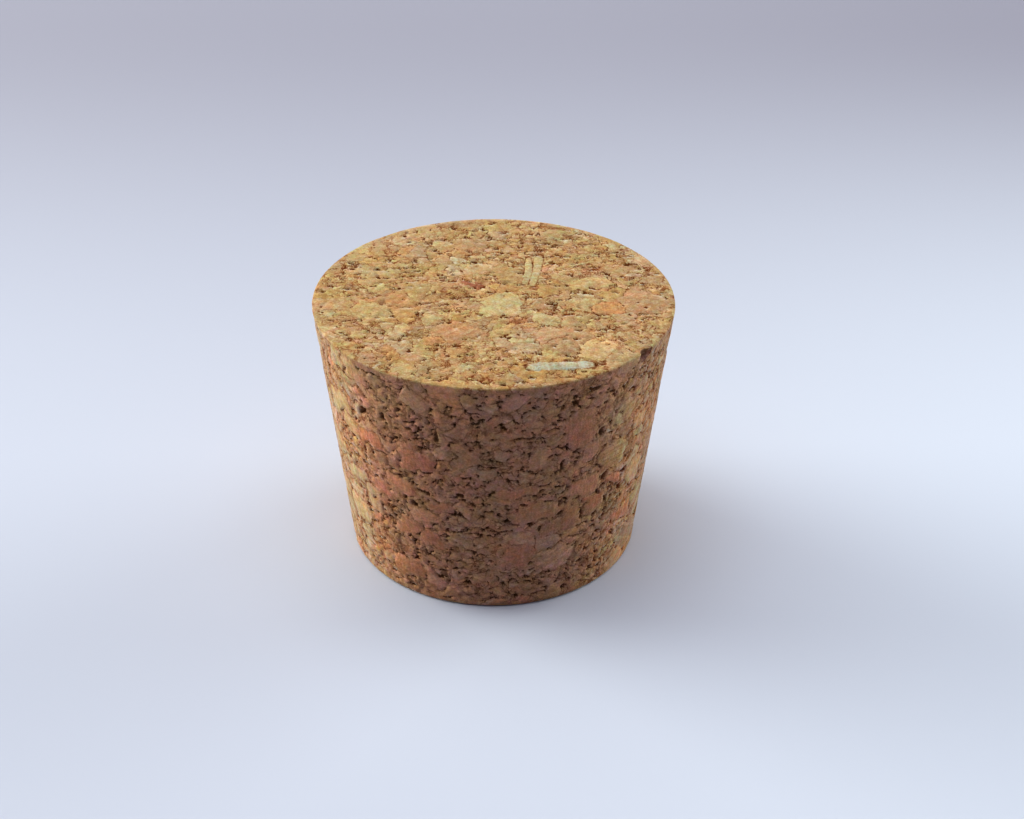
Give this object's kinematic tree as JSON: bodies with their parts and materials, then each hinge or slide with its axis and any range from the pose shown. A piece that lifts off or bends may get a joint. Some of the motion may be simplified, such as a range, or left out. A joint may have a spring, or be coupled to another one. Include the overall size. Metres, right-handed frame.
{
  "type": "cork stopper",
  "caption": "Tapered stopper of pressed cork granules that plugs the neck of a bottle or jar.",
  "frame": {"origin": "centre of the narrow end's flat face, where the stopper stands", "axes": "+Z along the plug's axis towards the wide end; -Y is the side that faces the viewer, and the chip in the rim lies towards +X and -Y"},
  "size_m": [0.04, 0.04, 0.0303],
  "materials": {
    "pressed_cork": "sanded, open-pored granules in tan, cream, pink-brown and dark brown, matt"
  },
  "bodies": {
    "root": {"stopper": "pressed_cork"}
  },
  "joints": []
}
